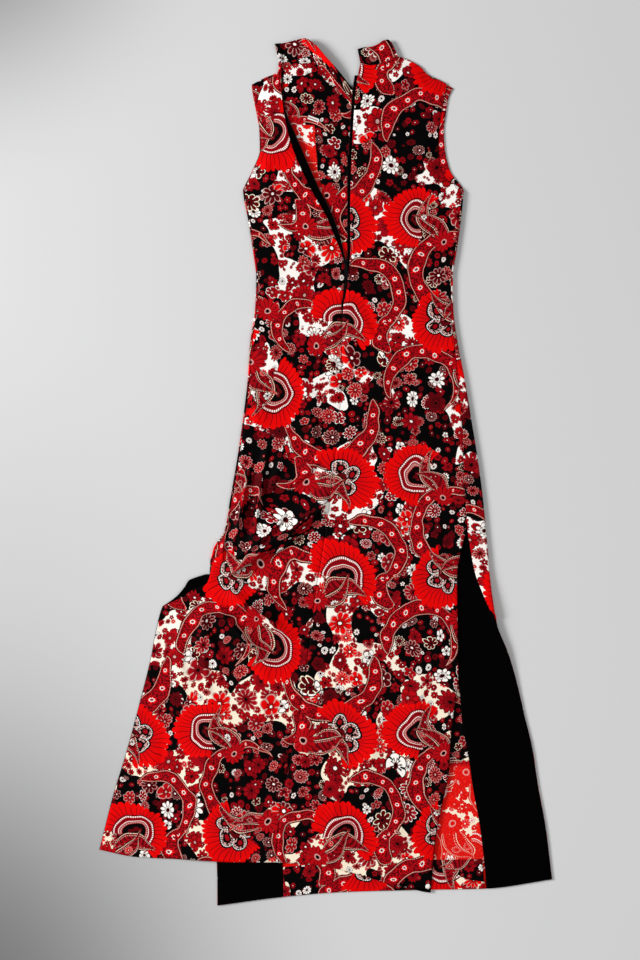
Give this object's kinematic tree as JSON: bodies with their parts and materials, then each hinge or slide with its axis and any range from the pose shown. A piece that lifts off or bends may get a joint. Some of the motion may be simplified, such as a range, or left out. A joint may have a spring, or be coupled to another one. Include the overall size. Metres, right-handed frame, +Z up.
{
  "type": "cheongsam dress laid flat, back up",
  "caption": "Sleeveless floor-length cheongsam laid flat face down, stand collar, back zip part open, high side slits with black facings.",
  "frame": {"origin": "middle of the garment's footprint, on the surface that it lies on", "axes": "+Y from the hem towards the collar, +X towards the wearer's right side as seen with the back up, +Z up"},
  "size_m": [0.7788, 1.4888, 0.0132],
  "materials": {
    "printed_cloth": "matt crepe with a paisley and flower print in red, dark red, black and white",
    "black_cloth": "matt black facing cloth and zip tape",
    "black_enamel": "black enamel",
    "white_ribbon": "woven satin ribbon"
  },
  "bodies": {
    "garment": {"front_panel": "printed_cloth", "front_facing_left": "black_cloth", "front_facing_right": "black_cloth", "front_hem_turn": "printed_cloth", "front_neck_facing": "printed_cloth", "back_left": "printed_cloth", "back_right": "printed_cloth", "back_facing_left": "black_cloth", "back_facing_right": "black_cloth", "collar_front": "printed_cloth", "collar_left": "printed_cloth", "collar_right": "printed_cloth", "zip_tape_left": "black_cloth", "zip_tape_right": "black_cloth", "zip_slider": "black_enamel", "label_loop": "white_ribbon"},
    "zip_pull": {"zip_pull_tab": "black_enamel"}
  },
  "joints": [
    {"name": "zip_pull_swing", "type": "hinge", "parent": "garment", "child": "zip_pull", "pos_m": [0.03491, 0.36055, 0.0081], "axis": [-1, 0, 0], "range_deg": [0, 150]}
  ]
}
